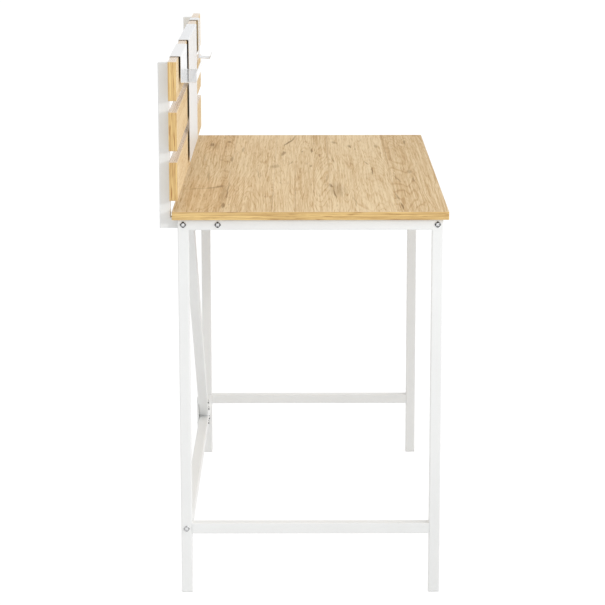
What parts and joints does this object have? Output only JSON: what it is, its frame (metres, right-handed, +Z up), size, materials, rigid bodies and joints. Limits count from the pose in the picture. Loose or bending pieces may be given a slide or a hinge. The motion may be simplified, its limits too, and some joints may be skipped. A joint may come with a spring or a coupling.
{
  "type": "writing desk",
  "caption": "Writing desk: oak-faced top on a white square-tube steel frame with a rear truss, a slatted back panel on posts, and folded sheet accessories that slide along its top slat.",
  "frame": {"origin": "on the floor, under the centre of the whole outline", "axes": "+X to the right of a person sitting at the desk, +Y to the rear, +Z up; the front faces -Y"},
  "size_m": [1, 0.5236, 0.9941],
  "materials": {
    "oak_face": "matt oak-grain laminate",
    "oak_edge": "matt oak edge band",
    "white_frame": "satin white powder coat",
    "white_sheet": "gloss white powder coat",
    "white_plastic": "moulded white",
    "zinc_steel": "bright zinc plated"
  },
  "bodies": {
    "desk": {"desktop": "oak_face", "desktop_front_band": "oak_edge", "desktop_left_band": "oak_edge", "desktop_rear_band": "oak_edge", "desktop_right_band": "oak_edge", "desktop_screws": "zinc_steel", "front_rail": "white_frame", "front_rail_nut_plates": "zinc_steel", "left_frame_bolts": "zinc_steel", "left_front_foot": "white_plastic", "left_front_leg": "white_frame", "left_lower_rail": "white_frame", "left_post": "white_frame", "left_post_cap": "white_plastic", "left_post_foot": "white_frame", "left_post_foot_cap": "white_plastic", "left_rear_foot": "white_plastic", "left_rear_leg": "white_frame", "left_slat_screws": "zinc_steel", "left_top_rail": "white_frame", "lower_gusset": "white_frame", "lower_gusset_bolts": "zinc_steel", "lower_slat": "oak_face", "lower_slat_bands": "oak_edge", "middle_slat": "oak_face", "middle_slat_bands": "oak_edge", "post_foot_nuts": "zinc_steel", "rear_brace": "white_frame", "rear_rail": "white_frame", "rear_rail_nut_plates": "zinc_steel", "rear_stretcher": "white_frame", "right_frame_bolts": "zinc_steel", "right_front_foot": "white_plastic", "right_front_leg": "white_frame", "right_lower_rail": "white_frame", "right_post": "white_frame", "right_post_cap": "white_plastic", "right_post_foot": "white_frame", "right_post_foot_cap": "white_plastic", "right_rear_foot": "white_plastic", "right_rear_leg": "white_frame", "right_slat_screws": "zinc_steel", "right_top_rail": "white_frame", "stretcher_nut_plates": "zinc_steel", "upper_gusset": "white_frame", "upper_gusset_bolts": "zinc_steel", "upper_slat": "oak_face", "upper_slat_bands": "oak_edge"},
    "pen_tray_body": {"pen_tray": "white_sheet"},
    "memo_board_body": {"memo_board": "white_sheet"},
    "hook_body": {"hook_plate": "white_sheet"}
  },
  "joints": [
    {"name": "pen_tray_slide", "type": "slide", "parent": "desk", "child": "pen_tray_body", "axis": [1, 0, 0], "range_m": [-0.0335, 0.041]},
    {"name": "memo_board_slide", "type": "slide", "parent": "desk", "child": "memo_board_body", "axis": [1, 0, 0], "range_m": [-0.041, 0.0505]},
    {"name": "hook_slide", "type": "slide", "parent": "desk", "child": "hook_body", "axis": [1, 0, 0], "range_m": [-0.0505, 0.0825]}
  ]
}
